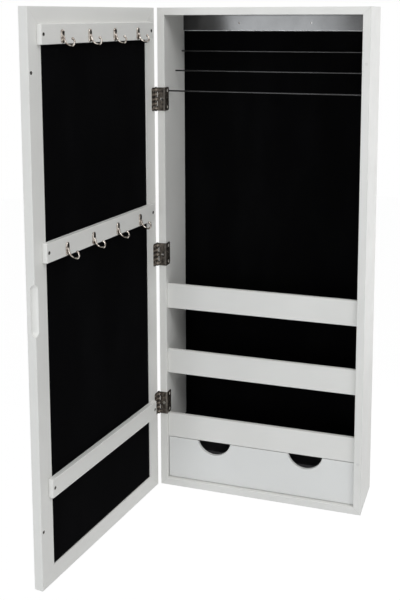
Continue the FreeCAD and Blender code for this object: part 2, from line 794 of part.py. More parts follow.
def finger_groove():
    """A round-ended cove along the free inner edge of the door, at half its height."""
    straight = "(Size.groove_length - 2 * Size.groove_radius)"
    middle = f"(({TOP} + {BOTTOM}) / 2)"
    edge = "Size.width / 2"
    foot = f"({middle} - {straight} / 2)"
    head = f"({middle} + {straight} / 2)"
    channel = primitive(
        "Cylinder", "groove_channel", (edge, DOOR_BACK, foot),
        Radius="Size.groove_radius", Height=straight,
    )
    ends = [
        primitive("Sphere", "groove_end", (edge, DOOR_BACK, z), Radius="Size.groove_radius")
        for z in (foot, head)
    ]
    return joined("groove_cutter", [channel, *ends])


def make_door_frame():
    hinge_stile = frame_member("door_stile_hinge_blank", "left", **DOOR)
    free_stile = frame_member("door_stile_free_blank", "right", **DOOR)
    hinge_holes = drills("hinge", DOOR_LEAF_SPOTS, "back") + drills("bar", BAR_SPOTS["hinge"], "back")
    free_holes = drills("hinge", STRIKE_SPOTS, "back") + drills("bar", BAR_SPOTS["free"], "back")
    return [
        cut("door_stile_hinge", hinge_stile, hinge_holes, on_door=True),
        cut("door_stile_free", free_stile, free_holes + [finger_groove()], on_door=True),
        frame_member("door_rail_top", "top", **DOOR, on_door=True),
        frame_member("door_rail_bottom", "bottom", **DOOR, on_door=True),
    ]


def make_door_panel(label, start, thick):
    """A sheet that fills the door frame's rebate, from a depth behind the door's front."""
    across = "(Size.stile_width + Size.fit_play)"
    up = "(Size.rail_width + Size.fit_play)"
    sheet_piece = primitive(
        "Box", label,
        Length=f"Size.width - 2 * {across}",
        Width=thick,
        Height=f"Size.height - 2 * {up}",
    )
    spot = (f"{LEFT} + {across}", f"{DOOR_FRONT} + {start}", f"{BOTTOM} + {up}")
    return place(sheet_piece, spot, on_door=True)


def make_door_filling():
    board_start = "Size.door_lip_thick + Size.mirror_thick"
    felt_start = f"{board_start} + Size.door_board_thick"
    return [
        make_door_panel("mirror_glass", "Size.door_lip_thick", "Size.mirror_thick"),
        make_door_panel("mirror_backing", board_start, "Size.door_board_thick"),
        make_door_panel("door_felt", felt_start, "Size.door_felt_thick"),
    ]


def hook_spots(bar):
    """The middles of the plates of one bar's hooks, with the door closed."""
    up = f"{BARS[bar]} - Size.hook_drop"
    return [(f"{step} * Size.hook_spacing", BAR_FACE, up) for step in HOOK_STEPS]


def hook_screw_spots(bar):
    surface = f"{BAR_FACE} + Size.hook_plate_thick"
    return [(x, surface, f"{z} + Size.hook_screw_rise") for x, _, z in hook_spots(bar)]


def make_bar(label, middle):
    """A painted bar screwed at both ends to the door's uprights."""
    blank = board(
        f"{label}_blank",
        (BAR_LENGTH, "Size.bar_thick", "Size.bar_height"),
        (f"-{BAR_LENGTH} / 2", DOOR_BACK, f"{middle} - Size.bar_height / 2"),
        "Size.arris",
    )
    holes = drills("bar", BAR_SPOTS["hinge"] + BAR_SPOTS["free"], "back")
    if label in HOOK_BARS:
        holes += drills("hook", hook_screw_spots(label), "back")
    return cut(label, blank, holes, on_door=True)


def wire_bend(label, up, radius, sweep, start, onward):
    """Part of a ring of the hook's wire, from one side of its middle round towards another."""
    bend = primitive(
        "Torus", label, ("0", "Size.hook_out", up), Radius1=radius, Radius2="Size.hook_wire"
    )
    bend.setExpression("Angle3", sweep)
    axes = [FreeCAD.Vector(*axis) for axis in (start, onward, (1, 0, 0))]
    bend.Placement.Rotation = FreeCAD.Rotation(*axes, "XYZ")
    return bend


def make_hook(label, spot):
    """An oval plate with a round wire that bends away from it, down and up to a ball."""
    plate = new_body(
        f"{label}_plate", ("-Size.hook_plate_width / 2", "0", "-Size.hook_plate_height / 2")
    )
    face = sketch_on(plate, "XZ_Plane")
    wide, tall = "Size.hook_plate_width", "Size.hook_plate_height"
    draw_outline(face, [("0", "0"), (wide, "0"), (wide, tall), ("0", tall)])
    raise_pad(plate, face, "Size.hook_plate_thick", against_normal=True)
    dress(plate, "Fillet", "Size.hook_plate_corner", lambda edge: runs_along(edge, 1))
    toward_plate, down, outward = (0, -1, 0), (0, 0, -1), (0, 1, 0)
    bow_up = "(Size.hook_bow - Size.hook_leg - Size.hook_leg_drop)"
    leg = wire_bend(
        f"{label}_leg", "-Size.hook_leg_drop", "Size.hook_leg", "90", toward_plate, down
    )
    bow = wire_bend(f"{label}_bow", bow_up, "Size.hook_bow", "Size.hook_sweep", down, outward)
    sweep = "(Size.hook_sweep * 1deg)"
    tip_y = f"Size.hook_out + Size.hook_bow * sin({sweep})"
    tip_z = f"{bow_up} - Size.hook_bow * cos({sweep})"
    tip = primitive("Sphere", f"{label}_tip", ("0", tip_y, tip_z), Radius="Size.hook_tip")
    solid = joined(f"{label}_solid", [plate, leg, bow, tip])
    hole = drills("hook", [("0", "Size.hook_plate_thick", "Size.hook_screw_rise")], "back")
    return cut(label, solid, hole, on_door=True, spot=spot)


# ---- everything, as the list of named pieces


def make_all():
    pieces = make_carcass() + make_back() + [make_magnets()]
    for name, foot in SHELVES.items():
        pieces += make_shelf(name, foot)
    for name, step in RODS.items():
        pieces.append(make_rod(name, step))
    pieces += make_drawer()
    for name, middle in HINGES.items():
        pieces += [cabinet_leaf(name, middle), door_leaf(name, middle), hinge_pin(name, middle)]
    pieces += make_door_frame() + make_door_filling()
    for label, middle in BARS.items():
        pieces.append(make_bar(label, middle))
    for bar in HOOK_BARS:
        for count, spot in enumerate(hook_spots(bar), start=1):
            pieces.append(make_hook(f"{bar.replace('_bar', '')}_{count}", spot))
    hook_screw_places = [spot for bar in HOOK_BARS for spot in hook_screw_spots(bar)]
    return pieces + [
        screws("hinge_wing_screws", "hinge", WING_SPOTS, "right"),
        screws("hinge_face_screws", "hinge", FACE_SPOTS, "front"),
        screws("hinge_door_screws", "hinge", DOOR_LEAF_SPOTS, "back", on_door=True),
        screws("strike_screws", "hinge", STRIKE_SPOTS, "back", on_door=True),
        screws("bar_screws", "bar", BAR_SPOTS["hinge"] + BAR_SPOTS["free"], "back", on_door=True),
        screws("hook_screws", "hook", hook_screw_places, "back", on_door=True),
    ]


def write_pieces(pieces):
    """Check the document and every piece, then write one file for each."""
    failed = [item.Label for item in doc.Objects if {"Invalid", "Error"} & set(item.State)]
    if failed:
        raise ValueError(f"these objects failed: {failed}")
    for piece in pieces:
        if piece.Shape.isNull() or not piece.Shape.isValid() or not piece.Shape.Solids:
            raise ValueError(f"{piece.Label} has no sound shape")
    os.makedirs("parts", exist_ok=True)
    for piece in pieces:
        piece.Shape.exportStep(f"parts/{piece.Label}.step")
        solids = len(piece.Shape.Solids)
        print(f"{piece.Label}: {solids} solid(s), {piece.Shape.Volume / 1000:.2f} cm3")


PIECES = make_all()
doc.recompute()
write_pieces(PIECES)
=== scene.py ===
"""Looks of a wall-hung jewelry cabinet with a mirror door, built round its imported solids."""
import json
import math

import bmesh
import bpy
from mathutils import Matrix, Vector, noise


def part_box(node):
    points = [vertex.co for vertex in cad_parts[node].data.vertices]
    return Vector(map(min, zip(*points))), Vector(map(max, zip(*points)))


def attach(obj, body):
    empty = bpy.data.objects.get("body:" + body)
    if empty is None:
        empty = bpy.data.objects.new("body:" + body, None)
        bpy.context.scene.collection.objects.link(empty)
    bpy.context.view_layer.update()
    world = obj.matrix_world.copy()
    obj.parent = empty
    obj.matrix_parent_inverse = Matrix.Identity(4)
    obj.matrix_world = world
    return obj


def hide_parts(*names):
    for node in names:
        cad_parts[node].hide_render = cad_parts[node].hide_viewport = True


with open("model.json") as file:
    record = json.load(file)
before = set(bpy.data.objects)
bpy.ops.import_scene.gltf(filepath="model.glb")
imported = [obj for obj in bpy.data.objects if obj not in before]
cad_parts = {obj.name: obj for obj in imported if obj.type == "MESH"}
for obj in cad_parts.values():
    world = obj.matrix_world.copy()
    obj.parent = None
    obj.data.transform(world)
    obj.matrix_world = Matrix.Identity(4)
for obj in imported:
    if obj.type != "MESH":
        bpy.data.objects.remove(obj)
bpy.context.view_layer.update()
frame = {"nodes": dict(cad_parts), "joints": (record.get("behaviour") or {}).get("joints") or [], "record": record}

MM = 0.001
KNUCKLE_PARTS = 5
SEAM_CORE, SEAM_EDGE = 0.2 * MM, 1.1 * MM  # half the width of a mitre's line: full and faded out

hinge = next(joint for joint in frame["joints"] if joint["name"] == "door_hinge")
PIN = Vector(hinge["pos_m"])
OPENED = math.radians(97)
# From where a piece of the door is while the door is closed to where it is drawn.
SWING = Matrix.Translation(PIN) @ Matrix.Rotation(-OPENED, 4, "Z") @ Matrix.Translation(-PIN)


# ---- camera


def make_camera():
    """A camera in front of the cabinet, to its right and level with its top."""
    right_turn, down, roll = 0.3254, -0.1405, 0.0030
    turned = Matrix.Rotation(right_turn, 3, "Z")
    pitched = Matrix.Rotation(down, 3, "X")
    rolled = Matrix.Rotation(roll, 3, "Y")
    facing = turned @ pitched @ rolled @ Matrix.Rotation(math.radians(90), 3, "X")
    data = bpy.data.cameras.new("camera")
    data.lens = 57.0
    data.shift_y = -0.25
    data.clip_start, data.clip_end = 0.05, 60
    camera = bpy.data.objects.new("camera", data)
    camera.matrix_world = Matrix.Translation((0.3811, -1.5188, 0.0121)) @ facing.to_4x4()
    bpy.context.scene.collection.objects.link(camera)
    bpy.context.scene.camera = camera


# ---- materials


class Finish:
    """A material under construction: one principled shader and the textures that feed it."""

    def __init__(self, name, **fixed):
        self.material = bpy.data.materials.new(name)
        self.material.use_nodes = True
        self.tree = self.material.node_tree
        self.shader = self.tree.nodes["Principled BSDF"]
        for socket, value in fixed.items():
            self.shader.inputs[socket.replace("_", " ")].default_value = value
        self.place = self.node("ShaderNodeTexCoord").outputs["Object"]
        self.bumped = None

    def node(self, kind, **settings):
        made = self.tree.nodes.new(kind)
        for name, value in settings.items():
            setattr(made, name, value)
        return made

    def join(self, source, target):
        self.tree.links.new(source, target)

    def stretched(self, scale, turn=(0, 0, 0), shift=(0, 0, 0)):
        """The piece's own coordinates, scaled, turned and shifted."""
        mapping = self.node("ShaderNodeMapping")
        self.join(self.place, mapping.inputs["Vector"])
        mapping.inputs["Scale"].default_value = scale
        mapping.inputs["Rotation"].default_value = turn
        mapping.inputs["Location"].default_value = shift
        return mapping.outputs["Vector"]

    def grain(self, scale, detail=3.0, rough=0.55, place=None):
        texture = self.node("ShaderNodeTexNoise")
        self.join(place or self.place, texture.inputs["Vector"])
        texture.inputs["Scale"].default_value = scale
        texture.inputs["Detail"].default_value = detail
        texture.inputs["Roughness"].default_value = rough
        return texture.outputs["Fac"]

    def span(self, value, low, high, start=0.0, end=1.0):
        """The value, moved from the range low to high into the range start to end."""
        ranged = self.node("ShaderNodeMapRange")
        self.join(value, ranged.inputs["Value"])
        for name, number in (("From Min", low), ("From Max", high), ("To Min", start), ("To Max", end)):
            ranged.inputs[name].default_value = number
        return ranged.outputs["Result"]

    def blend(self, share, first, second):
        """A colour between two others, each a colour or a socket."""
        mix = self.node("ShaderNodeMix", data_type="RGBA")
        self.join(share, mix.inputs[0])
        for slot, colour in ((6, first), (7, second)):
            if isinstance(colour, tuple):
                mix.inputs[slot].default_value = (*colour, 1)
            else:
                self.join(colour, mix.inputs[slot])
        return mix.outputs[2]

    def arithmetic(self, operation, first, second=None):
        sums = self.node("ShaderNodeMath", operation=operation)
        for slot, value in enumerate((first, second)):
            if value is None:
                continue
            if isinstance(value, (int, float)):
                sums.inputs[slot].default_value = value
            else:
                self.join(value, sums.inputs[slot])
        return sums.outputs[0]

    def colour(self, socket):
        self.join(socket, self.shader.inputs["Base Color"])

    def roughness(self, socket):
        self.join(socket, self.shader.inputs["Roughness"])

    def bump(self, height, depth, strength=1.0):
        """Raise the surface by the height, up to a depth in metres, on top of earlier bumps."""
        raised = self.node("ShaderNodeBump")
        raised.inputs["Strength"].default_value = strength
        raised.inputs["Distance"].default_value = depth
        self.join(height, raised.inputs["Height"])
        if self.bumped is not None:
            self.join(self.bumped, raised.inputs["Normal"])
        self.bumped = raised.outputs["Normal"]
        self.join(self.bumped, self.shader.inputs["Normal"])


def front_outline():
    """Half the size and the middle of the cabinet's front, as (across, up)."""
    low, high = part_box("side_left")[0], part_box("side_right")[1]
    half = ((high.x - low.x) / 2, (high.z - low.z) / 2)
    middle = ((high.x + low.x) / 2, (high.z + low.z) / 2)
    return half, middle


def mitre_line(finish, seam_turn):
    """1 on the diagonals that run in from the corners of the frame, and 0 elsewhere."""
    split = finish.node("ShaderNodeSeparateXYZ")
    finish.join(finish.stretched((1, 1, 1), *seam_turn), split.inputs["Vector"])
    from_edge = []
    for axis, half, centre in zip("XZ", *front_outline()):
        off = finish.arithmetic("ABSOLUTE", finish.arithmetic("SUBTRACT", split.outputs[axis], centre))
        from_edge.append(finish.arithmetic("SUBTRACT", half, off))
    apart = finish.arithmetic("ABSOLUTE", finish.arithmetic("SUBTRACT", *from_edge))
    line = finish.span(apart, SEAM_CORE, SEAM_EDGE, 1, 0)
    return finish.arithmetic("MULTIPLY", line, finish.span(finish.grain(160), 0.3, 0.7, 0.3, 0.9))


def paint(name, tint, seam_turn=None, seam_shade=0.8):
    """Sprayed satin paint with a fine orange peel, and a thin dark line where mitres meet.

    seam_turn is the turn and shift that bring a piece back to where the frame is upright.
    """
    finish = Finish(name, IOR=1.5)
    cloudy = finish.grain(9, 2)
    shade = tuple(channel * 0.965 for channel in tint)
    colour = finish.blend(finish.span(cloudy, 0.35, 0.65), shade, tint)
    specks = finish.grain(420, 2, 0.7)
    dust = tuple(channel * 0.9 for channel in tint)
    colour = finish.blend(finish.span(specks, 0.72, 0.8), colour, dust)
    if seam_turn is not None:
        line = mitre_line(finish, seam_turn)
        colour = finish.blend(line, colour, tuple(channel * seam_shade for channel in tint))
    finish.colour(colour)
    finish.roughness(finish.span(finish.grain(55, 3), 0.3, 0.7, 0.36, 0.5))
    finish.bump(finish.grain(650, 2, 0.5), 0.04 * MM, 0.35)
    finish.bump(finish.grain(120, 2, 0.5), 0.06 * MM, 0.25)
    return finish.material


def velvet(name, colour, sheen, dark_front=None):
    """Short pile with a faint sheen and strokes where the nap lies another way.

    In front of the depth dark_front it is as dark as in the rest of the cabinet.
    """
    finish = Finish(
        name, IOR=1.3, Specular_IOR_Level=0.03, Sheen_Weight=sheen, Sheen_Roughness=0.5,
        Sheen_Tint=(0.6, 0.62, 0.75, 1),
    )
    strokes = finish.grain(14, 3, 0.6, finish.stretched((1, 1, 0.35)))
    pile = finish.grain(2600, 2, 0.6)
    deep = tuple(channel * 0.45 for channel in colour)
    shade = finish.blend(finish.span(pile, 0.35, 0.65), deep, colour)
    lit = tuple(channel * 1.5 for channel in colour)
    shade = finish.blend(finish.span(strokes, 0.45, 0.75, 0, 0.6), shade, lit)
    if dark_front is not None:
        split = finish.node("ShaderNodeSeparateXYZ")
        finish.join(finish.place, split.inputs["Vector"])
        front = finish.span(split.outputs["Y"], dark_front, dark_front + MM, 1, 0)
        shade = finish.blend(front, shade, (0.03, 0.029, 0.031))
    finish.colour(shade)
    finish.roughness(finish.span(pile, 0.3, 0.7, 0.85, 1.0))
    finish.bump(pile, 0.3 * MM, 0.8)
    finish.bump(strokes, 0.4 * MM, 0.3)
    return finish.material


def satin_black():
    """Smooth black paint that mirrors the room softly, with a painted highlight in a pale line along its lower
    edge.
    """
    finish = Finish("black_satin", IOR=1.6)
    black = finish.blend(finish.grain(30), (0.004, 0.004, 0.005), (0.008, 0.008, 0.009))
    split = finish.node("ShaderNodeSeparateXYZ")
    finish.join(finish.place, split.inputs["Vector"])
    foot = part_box("hanging_rail")[0].z
    # The pale line along the rail's lower edge is a painted highlight.
    rubbed = finish.span(split.outputs["Z"], foot + 0.9 * MM, foot + 1.1 * MM, 1, 0)
    painted_highlight_line = finish.arithmetic("MULTIPLY", rubbed, finish.span(finish.grain(90, 2), 0.3, 0.6, 0.5, 1))
    finish.colour(finish.blend(painted_highlight_line, black, (0.72, 0.73, 0.74)))
    finish.roughness(finish.span(finish.grain(40, 3), 0.3, 0.7, 0.12, 0.16))
    finish.bump(finish.grain(300, 2), 0.01 * MM, 0.15)
    return finish.material


def plated(name, bright, dark_tarnish_and_painted_reflection, rough, streak=1.0, metallic=1.0):
    """Plated metal with cloudy tarnish and painted dark reflections, and fine rubbing marks."""
    finish = Finish(name, Metallic=metallic)
    cloud = finish.grain(260, 4, 0.6)
    rubbed = finish.grain(900, 3, 0.6, finish.stretched((1, 1, streak)))
    shade = finish.blend(finish.span(cloud, 0.38, 0.62), dark_tarnish_and_painted_reflection, bright)
    finish.colour(finish.blend(finish.span(rubbed, 0.55, 0.75, 0, 0.5), shade, dark_tarnish_and_painted_reflection))
    finish.roughness(finish.span(cloud, 0.3, 0.7, rough[0], rough[1]))
    finish.bump(rubbed, 0.02 * MM, 0.5)
    return finish.material


def hinge_metal(name):
    """Browned steel of one hinge: bright where it is bent, partly wear and partly painted highlight, with painted
    highlights and painted shade in bands along the knuckle's five parts.
    """
    finish = Finish(f"bronze_{name}", Metallic=0.6)
    cloud = finish.grain(260, 4, 0.6)
    rubbed = finish.grain(900, 3, 0.6)
    shade = finish.blend(finish.span(cloud, 0.38, 0.62), (0.055, 0.047, 0.04), (0.2, 0.172, 0.145))
    split = finish.node("ShaderNodeSeparateXYZ")
    finish.join(finish.place, split.inputs["Vector"])
    low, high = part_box(f"hinge_leaf_cabinet_{name}")
    # Along the bend the colour is lighter: partly worn plating, partly a painted highlight of the light from the
    # right.
    bend = finish.span(split.outputs["X"], high.x - 3.4 * MM, high.x - 2.4 * MM)
    front = finish.span(split.outputs["Y"], low.y + 2.2 * MM, low.y + 2.8 * MM, 1, 0)
    lighter_patches = finish.arithmetic("MULTIPLY", bend, front)
    lighter_patches = finish.arithmetic("MULTIPLY", lighter_patches, finish.span(rubbed, 0.3, 0.6, 0.55, 1))
    shade = finish.blend(lighter_patches, shade, (0.42, 0.39, 0.35))
    # Bands up the knuckle, one for each part, with a painted highlight midway and painted shade at the gaps
    # between parts: along it runs from 0 to 1, and bright is 1 midway.
    along = finish.arithmetic("FRACT", finish.span(split.outputs["Z"], low.z, high.z, 0, KNUCKLE_PARTS))
    off_middle = finish.arithmetic("ABSOLUTE", finish.span(along, 0, 1, -1.6, 1.6))
    bright = finish.arithmetic("SUBTRACT", 1, off_middle)
    aside = finish.arithmetic("ABSOLUTE", finish.arithmetic("SUBTRACT", split.outputs["X"], PIN.x))
    knuckle = finish.span(aside, 2.6 * MM, 3.4 * MM, 1, 0)
    # Painted shade darkens the knuckle where its parts meet.
    joint = finish.arithmetic("MULTIPLY", knuckle, finish.span(bright, -0.1, 0.1, 0.8, 0))
    shade = finish.blend(joint, shade, (0.03, 0.026, 0.022))
    # A painted highlight brightens the middle of each knuckle part.
    painted_knuckle_highlight = finish.arithmetic("MULTIPLY", knuckle, finish.span(bright, 0.3, 0.9, 0, 0.6))
    finish.colour(finish.blend(painted_knuckle_highlight, shade, (0.42, 0.365, 0.31)))
    finish.roughness(finish.span(cloud, 0.3, 0.7, 0.14, 0.28))
    finish.bump(rubbed, 0.02 * MM, 0.5)
    return finish.material


def black_rod():
    """Steel wire with a smooth black coat, a little greyer in long patches along it."""
    finish = Finish("dark_steel", IOR=1.45)
    lighter_patches = finish.grain(22, 2, 0.5, finish.stretched((1, 0.1, 0.1)))
    fine = finish.grain(700, 3, 0.6)
    shade = finish.blend(finish.span(lighter_patches, 0.42, 0.62), (0.004, 0.004, 0.004), (0.014, 0.014, 0.015))
    finish.colour(finish.blend(finish.span(fine, 0.6, 0.8, 0, 0.4), shade, (0.008, 0.008, 0.008)))
    finish.roughness(finish.span(lighter_patches, 0.3, 0.7, 0.26, 0.18))
    finish.bump(fine, 0.01 * MM, 0.3)
    return finish.material


def hardboard():
    """Bare brown hardboard with pressed fibres."""
    finish = Finish("fibreboard", IOR=1.45, Specular_IOR_Level=0.3)
    fibres = finish.grain(700, 5, 0.7, finish.stretched((1, 1, 0.4)))
    clouds = finish.grain(12, 4)
    shade = finish.blend(finish.span(fibres, 0.35, 0.7), (0.24, 0.165, 0.105), (0.42, 0.31, 0.21))
    finish.colour(finish.blend(finish.span(clouds, 0.4, 0.7, 0, 0.5), shade, (0.33, 0.24, 0.16)))
    finish.roughness(finish.span(fibres, 0.3, 0.7, 0.55, 0.8))
    finish.bump(fibres, 0.15 * MM, 0.6)
    return finish.material


def mirror():
    """Silvered glass with a faint haze of wiping."""
    finish = Finish("mirror", Metallic=1.0)
    haze = finish.grain(5, 4, 0.6, finish.stretched((1, 1, 0.5)))
    finish.colour(finish.blend(finish.span(haze, 0.4, 0.7), (0.86, 0.885, 0.88), (0.83, 0.86, 0.855)))
    finish.roughness(finish.span(haze, 0.4, 0.75, 0.012, 0.05))
    finish.bump(finish.grain(2.5, 1), 0.02 * MM, 0.2)
    return finish.material


WARM_WHITE = (0.80, 0.80, 0.775)
UNSWUNG = SWING.inverted()
DOOR_TURN = ((0, 0, OPENED), tuple(UNSWUNG.to_translation()))

FINISHES = {
    "white_paint": paint("white_paint", WARM_WHITE, seam_turn=((0, 0, 0), (0, 0, 0)), seam_shade=0.86),
    "black_velvet": velvet("black_velvet", (0.003, 0.003, 0.0033), 0.004),
    "black_satin": satin_black(),
    "fibreboard": hardboard(),
    "mirror": mirror(),
    # The nickel's dark clouds are partly tarnish and partly painted reflections of dark surroundings.
    "nickel": plated("nickel", (0.7, 0.65, 0.59), (0.17, 0.14, 0.12), (0.08, 0.18), 0.4),
    "bronze": hinge_metal("middle"),
    "steel": plated("steel", (0.74, 0.72, 0.69), (0.3, 0.29, 0.27), (0.12, 0.25)),
    "dark_steel": black_rod(),
}
DOOR_WHITE = paint("door_white", WARM_WHITE, seam_turn=DOOR_TURN, seam_shade=0.93)
PLAIN_WHITE = paint("plain_white", WARM_WHITE)
DRAWER_WHITE = paint("drawer_white", (0.79, 0.798, 0.786))
# The tray's velvet is painted light grey inside, as painted light where the drawer is in shade, and is dark only
# at its front strip, where the front light falls.
TRAY_VELVET_PAINTED_LIGHT = velvet("tray_velvet", (0.25, 0.24, 0.255), 0.02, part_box("drawer_tray")[0].y + 1.2 * MM)
SCREW_DARK = plated("dark_screw", (0.2, 0.19, 0.18), (0.07, 0.065, 0.06), (0.2, 0.35))
CATCH_PALE = paint("pale_catch", (0.74, 0.74, 0.715))
# The hinge wing screws are pale and hardly metallic: a painted glint, so that they show as bright dots.
SCREW_PAINTED_GLINT = plated("screw_painted_glint", (0.86, 0.83, 0.78), (0.5, 0.47, 0.43), (0.25, 0.4), metallic=0.3)
OWN_MATERIAL = {
    "drawer_front": DRAWER_WHITE,
    "bar_screws": SCREW_DARK,
    "hook_screws": SCREW_DARK,
    "strike_screws": SCREW_DARK,
    "hinge_wing_screws": SCREW_PAINTED_GLINT,
    "catch_magnets": CATCH_PALE,
}
for place in ("upper", "lower"):
    metal = hinge_metal(place)
    for piece in ("hinge_leaf_cabinet", "hinge_leaf_door", "hinge_pin"):
        OWN_MATERIAL[f"{piece}_{place}"] = metal
CARCASS = ("side_left", "side_right", "top_board", "bottom_board")


def dress_solids():
    """Give every solid the material of its slot in the record, or one of its own."""
    slots = {part["node"]: part["material_slot"] for part in frame["record"]["subparts"]}
    for name, solid in frame["nodes"].items():
        material = FINISHES[slots[name]]
        if name.startswith(("door_stile", "door_rail")):
            material = DOOR_WHITE
        elif name in OWN_MATERIAL:
            material = OWN_MATERIAL[name]
        elif material is FINISHES["white_paint"] and name not in CARCASS:
            material = PLAIN_WHITE
        solid.data.materials.clear()
        solid.data.materials.append(material)


# ---- pieces made here


def new_piece(name, vertices, faces, body, slot, replaced, material=None):
    mesh = bpy.data.meshes.new(name)
    mesh.from_pydata([tuple(v) for v in vertices], [], faces)
    tidy = bmesh.new()
    tidy.from_mesh(mesh)
    bmesh.ops.recalc_face_normals(tidy, faces=tidy.faces)
    tidy.to_mesh(mesh)
    tidy.free()
    mesh.polygons.foreach_set("use_smooth", [True] * len(mesh.polygons))
    piece = bpy.data.objects.new(name, mesh)
    bpy.context.scene.collection.objects.link(piece)
    mesh.materials.append(material or FINISHES[slot])
    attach(piece, body)
    if replaced:
        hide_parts(replaced)
    return piece


# How far in a velvet's edge is rounded, and how high its surface rises and falls.
EDGE_ROLL = 1.4 * MM
LUMP = 0.12 * MM


def spread(length, step=6 * MM):
    """Places along a side: close together at the rolled edges and even between them."""
    edge = [0, 0.25 * MM, 0.7 * MM, EDGE_ROLL]
    inner = max(2, round((length - 2 * edge[-1]) / step))
    between = [edge[-1] + (length - 2 * edge[-1]) * i / inner for i in range(1, inner)]
    return edge + between + [length - e for e in reversed(edge)]


def roll(distance):
    """How far a velvet edge has risen at a distance from its rim, from 0 to 1."""
    if distance >= EDGE_ROLL:
        return 1.0
    return math.sqrt(max(0.0, 1 - (1 - distance / EDGE_ROLL) ** 2))


def velvet_sheet(node, body, size, thick, to_row):
    """Cloth glued on a board: rolled edges and a surface that is not quite flat."""
    wide, tall = size
    across, up = spread(wide), spread(tall)
    vertices, faces = [], []
    for v in up:
        for u in across:
            rim = min(u, wide - u, v, tall - v)
            lump = noise.noise(Vector((u * 28, v * 22, thick * 900))) * LUMP
            height = thick * (0.25 + 0.75 * roll(rim)) + (lump if rim > MM else 0)
            vertices.append(to_row @ Vector((u, v, height)))
    count = len(vertices)
    for v in up:
        for u in across:
            vertices.append(to_row @ Vector((u, v, 0)))
    row = len(across)
    for j in range(len(up) - 1):
        for i in range(row - 1):
            a = j * row + i
            faces.append((a, a + 1, a + row + 1, a + row))
            faces.append((count + a, count + a + row, count + a + row + 1, count + a + 1))
    rim = list(range(row))
    rim += [j * row + row - 1 for j in range(1, len(up))]
    rim += [(len(up) - 1) * row + i for i in range(row - 2, -1, -1)]
    rim += [j * row for j in range(len(up) - 2, 0, -1)]
    for here, there in zip(rim, rim[1:] + rim[:1]):
        faces.append((here, there, count + there, count + here))
    piece = new_piece(f"{node}_velvet", vertices, faces, body, "black_velvet", node)


def make_velvets():
    play = 0.15 * MM
    low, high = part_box("back_lining")
    toward_front = Matrix(
        ((1, 0, 0, low.x + play), (0, 0, -1, high.y), (0, 1, 0, low.z + play), (0, 0, 0, 1))
    )
    size = (high.x - low.x - 2 * play, high.z - low.z - 2 * play)
    velvet_sheet("back_lining", "cabinet", size, high.y - low.y, toward_front)
    for name in ("lower", "middle", "upper"):
        low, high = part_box(f"shelf_felt_{name}")
        upward = Matrix.Translation(low + Vector((play, play, 0)))
        size = (high.x - low.x - 2 * play, high.y - low.y - 2 * play)
        velvet_sheet(f"shelf_felt_{name}", "cabinet", size, high.z - low.z, upward)
    felt = [UNSWUNG @ v.co for v in frame["nodes"]["door_felt"].data.vertices]
    low = Vector([min(v[i] for v in felt) for i in range(3)])
    high = Vector([max(v[i] for v in felt) for i in range(3)])
    toward_back = SWING @ Matrix(
        ((-1, 0, 0, high.x - play), (0, 0, 1, low.y), (0, 1, 0, low.z + play), (0, 0, 0, 1))
    )
    size = (high.x - low.x - 2 * play, high.z - low.z - 2 * play)
    velvet_sheet("door_felt", "door", size, high.y - low.y, toward_back)


def make_tray():
    """The drawer's lining: one cloth folded up at four sides, with a rolled rim."""
    low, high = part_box("drawer_tray")
    wide, deep, tall = high - low
    skin, play = 1 * MM, 0.1 * MM
    # Rings from the outside foot over the rim and down to the inside corner: inset and height.
    outer = [(play, 0), (play, tall - 0.6 * MM), (play + 0.15 * MM, tall - 0.2 * MM)]
    rim = [(skin / 2, tall), (skin - 0.15 * MM, tall - 0.2 * MM)]
    inner = [(skin, tall - 0.6 * MM), (skin, tall * 0.5), (skin, skin + 2.5 * MM)]
    corner = [(skin + 0.7 * MM, skin + 0.8 * MM), (skin + 2.5 * MM, skin)]
    steps = 24
    vertices, faces = [], []

    def ring(inset, height):
        corners = [
            (low.x + inset, low.y + inset), (high.x - inset, low.y + inset),
            (high.x - inset, high.y - inset), (low.x + inset, high.y - inset),
        ]
        for (ax, ay), (bx, by) in zip(corners, corners[1:] + corners[:1]):
            for i in range(steps):
                t = i / steps
                x, y = ax + (bx - ax) * t, ay + (by - ay) * t
                sway = noise.noise(Vector((x * 40, y * 40, height * 60))) * LUMP
                out = Vector((x - (low.x + high.x) / 2, y - (low.y + high.y) / 2, 0)).normalized()
                reach = sway if 0 < height < tall and inset >= skin else 0
                vertices.append(Vector((x, y, low.z + height)) - out * abs(reach))

    rings = outer + rim + inner + corner
    for inset, height in rings:
        ring(inset, height)
    around = 4 * steps
    for r in range(len(rings) - 1):
        for i in range(around):
            j = (i + 1) % around
            faces.append((r * around + i, r * around + j, (r + 1) * around + j, (r + 1) * around + i))
    last = (len(rings) - 1) * around
    faces.append(tuple(range(last, last + around)))
    faces.append(tuple(reversed(range(around))))
    piece = new_piece(
        "drawer_tray_velvet", vertices, faces, "drawer", "black_velvet", "drawer_tray", TRAY_VELVET_PAINTED_LIGHT
    )


# Sizes of a hook in millimetres and degrees, as in the solid that each mesh replaces.
HOOK = dict(
    wide=7.6, tall=18.5, corner=3.6, out=13.8, leg=11.0, leg_drop=1.6, bow=5.2, sweep=150
)
WIRE, TIP, AROUND = 1.38, 2.0, 16


def plate_outline(scale, points=9):
    """The hook plate's outline as (across, up), shrunk towards the middle line."""
    half_wide = HOOK["wide"] / 2 * scale
    half_tall = HOOK["tall"] / 2 - HOOK["wide"] / 2 * (1 - scale)
    round_by = min(HOOK["corner"] * scale, half_wide)
    line = []
    for corner, (sx, sz) in enumerate(((1, 1), (-1, 1), (-1, -1), (1, -1))):
        for i in range(points):
            angle = math.radians(90 * corner + 90 * i / (points - 1))
            x = sx * (half_wide - round_by) + round_by * math.cos(angle)
            z = sz * (half_tall - round_by) + round_by * math.sin(angle)
            line.append((x, z))
    return line


